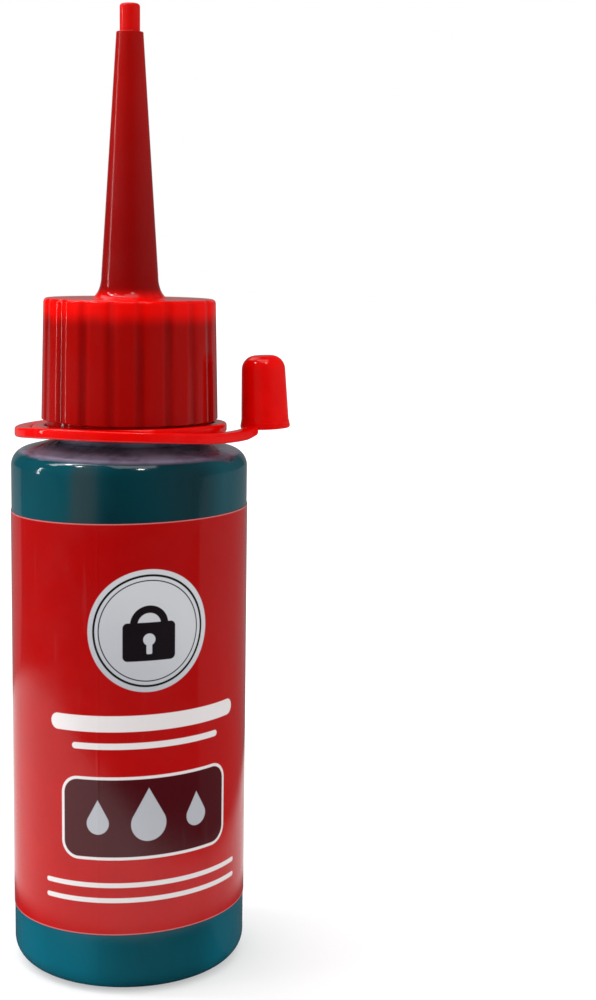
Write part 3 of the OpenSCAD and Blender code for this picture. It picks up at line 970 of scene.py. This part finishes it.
teal, tree, shader = material("teal_polyethylene")
at = node(tree, "TexCoord").outputs["Object"]
height = node(tree, "SeparateXYZ")
tree.links.new(at, height.inputs[0])
cloud = remap(tree, noise(tree, at, 70.0, 3.0, 0.5, (1.0, 1.0, 0.5)), 0.3, 0.7)
# Painted shade: the wall is darker on the side that faces the front, which also stands for the dark fluid
# seen through it.
toward = node(tree, "VectorMath", operation="DOT_PRODUCT")
toward.inputs[1].default_value = SHADED_FRONT
tree.links.new(at, toward.inputs[0])
front_shade = remap(tree, toward.outputs["Value"], 0.0132, 0.0163)
front_shade = calc(tree, "MULTIPLY_ADD", cloud, 0.35, calc(tree, "MULTIPLY", front_shade, 0.75), clamp=True)
wall_colour = mix(tree, front_shade, screen_colour(4, 78, 90), screen_colour(0, 43, 51))
# Painted reflection: greyer patches on the left of the wall.
painted_reflection = remap(tree, noise(tree, at, 62.0, 2.0, 0.5, (1.0, 1.0, 0.25), 0.60), 0.47, 0.58)
painted_reflection = calc(tree, "MULTIPLY", painted_reflection, remap(tree, height.outputs[0], -0.003, -0.006))
wall_colour = mix(tree, calc(tree, "MULTIPLY", painted_reflection, 0.70), wall_colour, screen_colour(50, 64, 66))
foot_colour = mix(tree, front_shade, screen_colour(2, 104, 124), screen_colour(0, 78, 91))
wall_colour = mix(tree, remap(tree, height.outputs[2], *FOOT_FROM_TO), wall_colour, foot_colour)
murk = remap(tree, noise(tree, at, 130.0, 3.0, 0.6, (1.0, 1.0, 2.5)), 0.35, 0.65)
# Painted reflection of the red cap and the pale room: the shoulder above the fluid turns violet grey.
above = mix(tree, murk, screen_colour(90, 84, 104), screen_colour(136, 138, 162))
wall_colour = mix(tree, remap(tree, height.outputs[2], *SHOULDER_REFLECTION_FROM_TO), wall_colour, above)
neck_tone = mix(tree, murk, screen_colour(58, 84, 98), screen_colour(70, 96, 110))
wall_colour = mix(tree, remap(tree, height.outputs[2], *NECK_FROM_TO), wall_colour, neck_tone)
feed(tree, shader.inputs["Base Color"], wall_colour)
rough = use(tree, wear, Glossy=0.06, Dull=0.12, Scuffs=0.05)
feed(tree, shader.inputs["Roughness"], rough["Roughness"])
feed(tree, shader.inputs["Normal"], use(tree, skin, Wave=0.20, Peel=0.2)["Normal"])
shader.inputs["Specular IOR Level"].default_value = 0.75
bottle.data.materials.append(teal)

# %% [markdown]
# ## The printed label
# A print is ink in flat shapes. Each shape is a distance: how far a place on the flat label is
# from the shape's edge, less than nothing inside it. A disc is a length minus a radius, a
# rounded box is the length past its corner, and a band is the size of a distance minus half its
# width. Ink lies wherever the distance is below nothing.


# %% Shapes as distances
class Place:
    """A spot on the flat label that shapes are measured from: u goes right and v up, in millimetres."""

    def __init__(self, tree, u, v):
        self.tree, self.u, self.v = tree, u, v

    def moved(self, u, v):
        """The same label seen from another middle."""
        t = self.tree
        return Place(t, calc(t, "SUBTRACT", self.u, u), calc(t, "SUBTRACT", self.v, v))

    def length(self, a, b):
        """The square root of a squared plus b squared."""
        t = self.tree
        return calc(t, "SQRT", calc(t, "ADD", calc(t, "MULTIPLY", a, a), calc(t, "MULTIPLY", b, b)))

    def disc(self, radius):
        """The length from the middle, less the radius."""
        return calc(self.tree, "SUBTRACT", self.length(self.u, self.v), radius)

    def box(self, width, tall, corner):
        """Half sizes less the corner's radius are taken off, and what is left over is a distance to
        a point."""
        t = self.tree
        x = calc(t, "SUBTRACT", calc(t, "ABSOLUTE", self.u), width / 2 - corner)
        y = calc(t, "SUBTRACT", calc(t, "ABSOLUTE", self.v), tall / 2 - corner)
        outside = self.length(calc(t, "MAXIMUM", x, 0.0), calc(t, "MAXIMUM", y, 0.0))
        inside = calc(t, "MINIMUM", calc(t, "MAXIMUM", x, y), 0.0)
        return calc(t, "SUBTRACT", calc(t, "ADD", outside, inside), corner)

    def arch(self, radius, width):
        """A bow over two straight legs: the length from a middle that slides down, then a band of
        that width."""
        t = self.tree
        away = self.length(self.u, calc(t, "MAXIMUM", self.v, 0.0))
        return band(t, calc(t, "SUBTRACT", away, radius), width)

    def drop(self, radius, tall):
        """A disc with a point above it: the two sides run from the point and touch the disc."""
        t = self.tree
        lean = np.arcsin(radius / tall)
        cosine, sine = float(np.cos(lean)), float(np.sin(lean))
        across = calc(t, "MULTIPLY", calc(t, "ABSOLUTE", self.u), cosine)
        down = calc(t, "MULTIPLY", calc(t, "SUBTRACT", self.v, tall), sine)
        side = calc(t, "ADD", across, down)
        above = calc(t, "SUBTRACT", radius * sine, self.v)
        return calc(t, "MINIMUM", self.disc(radius), calc(t, "MAXIMUM", side, above))


def band(tree, distance, width):
    """A line of a width along the edge of a shape."""
    return calc(tree, "SUBTRACT", calc(tree, "ABSOLUTE", distance), width / 2)


def inked(tree, distance, soft=0.05):
    """1 inside a shape and 0 outside it, over a thin soft edge."""
    return remap(tree, distance, soft, -soft, smooth=False)


print("shapes ready")

# %% [markdown]
# The print is a design of its own, in the colours that suit such a bottle: a pale disc with a
# padlock at the top, two white bands, a dark plaque with three drops of oil, and two fine lines.
# At the back there is a bare pale panel for notes.


# %% Group: print
def print_design():
    """Layers of ink from the bottom up, each a colour mixed in by its mask."""
    group, take = new_group("print_design", [
        ("Place", "NodeSocketVector", (0.0, 0.0, 0.0)),
        ("Ground", "NodeSocketColor", (0.5, 0.0, 0.0, 1.0)),
    ])
    parts = node(group, "SeparateXYZ")
    feed(group, parts.inputs[0], take["Place"])
    whole = Place(group, parts.outputs[0], parts.outputs[1])
    white, black = screen_colour(238, 232, 232), screen_colour(24, 18, 22)
    pale, maroon = screen_colour(190, 192, 198), screen_colour(74, 8, 18)
    shade = remap(group, calc(group, "ADD", whole.u, whole.v), 30.0, 54.0)
    silver = mix(group, shade, pale, screen_colour(214, 216, 220))

    disc = whole.moved(0.6, 43.6)
    lock = disc.moved(0.0, -1.5)
    hole = lock.moved(0.0, 0.3)
    shackle = disc.moved(0.0, 0.9).arch(2.15, 1.05)
    shackle = calc(group, "MAXIMUM", shackle, calc(group, "SUBTRACT", -0.5, disc.v))
    plaque = whole.moved(0.6, 17.0)
    layers = [
        (inked(group, disc.disc(8.6)), silver),
        (inked(group, band(group, disc.disc(7.75), 0.32)), black),
        (inked(group, band(group, disc.disc(7.05), 0.16)), black),
        (inked(group, shackle), black),
        (inked(group, lock.box(7.4, 5.4, 0.7)), black),
        (inked(group, hole.disc(0.85)), silver),
        (inked(group, hole.moved(0.0, -1.1).box(0.8, 1.9, 0.2)), silver),
        (inked(group, whole.moved(0.6, 30.6).box(29.0, 2.3, 1.15)), white),
        (inked(group, whole.moved(0.6, 27.4).box(22.0, 0.9, 0.45)), white),
        (inked(group, plaque.box(25.0, 11.6, 2.4)), maroon),
        (inked(group, band(group, plaque.box(25.0, 11.6, 2.4), 0.42)), white),
        (inked(group, plaque.moved(0.0, -0.9).drop(2.5, 5.2)), silver),
        (inked(group, plaque.moved(-7.2, -0.7).drop(1.6, 3.4)), silver),
        (inked(group, plaque.moved(7.2, -0.7).drop(1.6, 3.4)), silver),
        (inked(group, whole.moved(0.6, 7.3).box(31.0, 0.7, 0.35)), white),
        (inked(group, whole.moved(0.6, 5.1).box(31.0, 0.7, 0.35)), white),
        (inked(group, whole.moved(38.0, 30.0).box(26.0, 36.0, 1.5)), screen_colour(226, 222, 220)),
    ]
    colour = take["Ground"]
    for mask, ink in layers:
        colour = mix(group, mask, colour, ink)
    return give(group, [("Colour", "NodeSocketColor", colour)])


design = print_design()
print(design.name, "nodes:", len(design.nodes))

# %% [markdown]
# The film is laminated: a clear glossy layer lies over the ink. It is stretched tight and still
# not flat, so the lamps' reflections waver as they run down it. The cut edges of the film show
# its pale core.

# %% Label finish
film, tree, shader = material("laminated_film")
flat = node(tree, "Attribute", attribute_name="flat_mm").outputs["Vector"]
parts = node(tree, "SeparateXYZ")
tree.links.new(flat, parts.inputs[0])
at = node(tree, "TexCoord").outputs["Object"]
fade = remap(tree, parts.outputs[1], 6.0, 52.0)
ground = mix(tree, fade, screen_colour(193, 9, 8), screen_colour(175, 4, 5))
mottle = remap(tree, noise(tree, at, 220.0, 4.0, 0.6), 0.3, 0.7)
ground = mix(tree, calc(tree, "MULTIPLY", mottle, 0.18), ground, screen_colour(156, 4, 5))
inks = use(tree, design, Place=flat, Ground=ground)["Colour"]
edge = calc(tree, "ABSOLUTE", calc(tree, "SUBTRACT", parts.outputs[1], LABEL_H / 2))
edge = remap(tree, edge, LABEL_H / 2 - 0.22, LABEL_H / 2 - 0.08)
inks = mix(tree, calc(tree, "MULTIPLY", edge, 0.55), inks, screen_colour(236, 150, 150))
feed(tree, shader.inputs["Base Color"], inks)
rough = use(tree, wear, Glossy=0.07, Dull=0.14, Scuffs=0.10)
feed(tree, shader.inputs["Roughness"], rough["Roughness"])
feed(tree, shader.inputs["Normal"], use(tree, skin, Wave=0.30, Peel=0.12)["Normal"])
label.data.materials.append(film)

# %% [markdown]
# ## Clear-red plastic of the cap
# The cap lets light through. Where the dark neck stands right behind the skirt it looks deep red,
# above the neck's rim it glows, and each rib is thick and so a little lighter than the flutes.
# The outlet tube is small enough to glow right through. Here the plastic is opaque, and all of this
# is painted into its colour: painted shade where the neck shows through, a painted glow above the
# rim and in the outlet tube, and lighter ribs. The colour follows the height on the cap and the rib
# attribute, and the skin scatters light just under its surface. The cone is a little duller than
# the skirt.

# %% Cap finish
GLOW_FROM_TO, CONE_FROM_TO, CONE_SPAN = (0.0944, 0.0969), (0.0972, 0.0990), (0.100, 0.134)
OUTLET_FROM_TO, DULLER_FROM_TO = (0.1342, 0.1345), (0.0985, 0.1030)

clear_red, tree, shader = material("clear_red_plastic")
at = node(tree, "TexCoord").outputs["Object"]
height = node(tree, "SeparateXYZ")
tree.links.new(at, height.inputs[0])
z = height.outputs[2]
ribs = node(tree, "Attribute", attribute_name="rib").outputs["Fac"]
cloud = noise(tree, at, 260.0, 3.0, 0.5, (1.0, 1.0, 0.3))
# Painted shade: the flutes are deep red where the dark neck shows through, and the ribs are a little
# lighter.
neck_shaded = mix(tree, remap(tree, cloud, 0.35, 0.65), screen_colour(134, 3, 2), screen_colour(148, 5, 3))
walls = mix(tree, remap(tree, ribs, 0.1, 0.9), neck_shaded, screen_colour(162, 8, 5))
# Painted glow: the cap's wall above the neck's rim, where light comes through.
painted_glow = mix(tree, remap(tree, ribs, 0.1, 0.9), screen_colour(228, 5, 1), screen_colour(240, 8, 3))
glow_share = remap(tree, calc(tree, "MULTIPLY_ADD", cloud, 0.0016, z), *GLOW_FROM_TO)
cone = remap(tree, z, *CONE_FROM_TO)
walls = mix(tree, glow_share, walls, painted_glow)
upwards = remap(tree, z, *CONE_SPAN)
cone_colour = mix(tree, upwards, screen_colour(140, 4, 3), screen_colour(172, 8, 4))
cone_colour = mix(tree, calc(tree, "MULTIPLY", cloud, 0.4), cone_colour, screen_colour(124, 3, 3))
walls = mix(tree, cone, walls, cone_colour)
# Painted glow: the outlet tube, lit right through.
walls = mix(tree, remap(tree, z, *OUTLET_FROM_TO), walls, screen_colour(212, 8, 3))
feed(tree, shader.inputs["Base Color"], walls)
rough = use(tree, wear, Glossy=0.06, Dull=0.11, Scuffs=0.06)
duller = remap(tree, z, *DULLER_FROM_TO, 0.0, 0.07)
feed(tree, shader.inputs["Roughness"], calc(tree, "ADD", rough["Roughness"], duller))
feed(tree, shader.inputs["Normal"], use(tree, skin, Wave=0.25, Peel=0.1)["Normal"])
shader.inputs["Specular IOR Level"].default_value = 0.4
shader.inputs["Subsurface Weight"].default_value = 0.25
shader.inputs["Subsurface Radius"].default_value = (1.0, 0.12, 0.08)
shader.inputs["Subsurface Scale"].default_value = 0.0008
cap.data.materials.append(clear_red)

# %% [markdown]
# ## Bright red plastic of the tether
# The ring, the strap and the tip cap are one moulding of a softer and more opaque plastic, bright
# and glossy. Its colour wanders a little between two reds, and all its pieces wear the one finish.

# %% Tether finish
bright_red, tree, shader = material("bright_red_plastic")
at = node(tree, "TexCoord").outputs["Object"]
cloud = remap(tree, noise(tree, at, 300.0, 3.0), 0.3, 0.7)
reds = mix(tree, cloud, screen_colour(230, 3, 1), screen_colour(239, 7, 3))
feed(tree, shader.inputs["Base Color"], reds)
rough = use(tree, wear, Glossy=0.06, Dull=0.12, Scuffs=0.08)
feed(tree, shader.inputs["Roughness"], rough["Roughness"])
feed(tree, shader.inputs["Normal"], use(tree, skin, Wave=0.15, Peel=0.2)["Normal"])
shader.inputs["Specular IOR Level"].default_value = 0.45
for made in [ring, tip, *strap]:
    made.data.materials.append(bright_red)

# %% [markdown]
# ## What is inside
# The fluid and the foam washer are hidden while the bottle is closed. They keep their CAD
# meshes. The fluid is dark and glossy with a metallic shimmer from the graphite, and the washer
# is a fine closed-cell foam.

# %% Fluid and foam
fluid, tree, shader = material("graphite_fluid")
at = node(tree, "TexCoord").outputs["Object"]
flakes = remap(tree, noise(tree, at, 3500.0, 1.0), 0.56, 0.62)
shimmer = mix(tree, flakes, screen_colour(26, 27, 30), screen_colour(110, 112, 118))
feed(tree, shader.inputs["Base Color"], shimmer)
feed(tree, shader.inputs["Metallic"], calc(tree, "MULTIPLY", flakes, 0.8))
feed(tree, shader.inputs["Roughness"], remap(tree, flakes, 0.0, 1.0, 0.12, 0.35))

foam, tree, shader = material("closed_cell_foam")
at = node(tree, "TexCoord").outputs["Object"]
cells = node(tree, "TexVoronoi")
tree.links.new(at, cells.inputs["Vector"])
cells.inputs["Scale"].default_value = 3000.0
creams = screen_colour(214, 210, 200), screen_colour(244, 242, 236)
feed(tree, shader.inputs["Base Color"], mix(tree, cells.outputs["Distance"], *creams))
shader.inputs["Roughness"].default_value = 0.8
pits = node(tree, "Bump")
pits.inputs["Strength"].default_value = 0.4
pits.inputs["Distance"].default_value = 0.0001
feed(tree, pits.inputs["Height"], cells.outputs["Distance"])
feed(tree, shader.inputs["Normal"], pits.outputs[0])

for name, finish in (("lubricant", fluid), ("sealing_washer", foam)):
    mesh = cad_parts[name].data
    mesh.materials.clear()
    mesh.materials.append(finish)
    print(name, "wears", finish.name)

# %% Finish
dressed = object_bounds()
sizes = {"cad": [list(v) for v in cad_box], "dressed": [list(v) for v in dressed]}
for key, (low, high) in sizes.items():
    print(key, [round(v * 1000, 2) for v in low], [round(v * 1000, 2) for v in high], "mm")
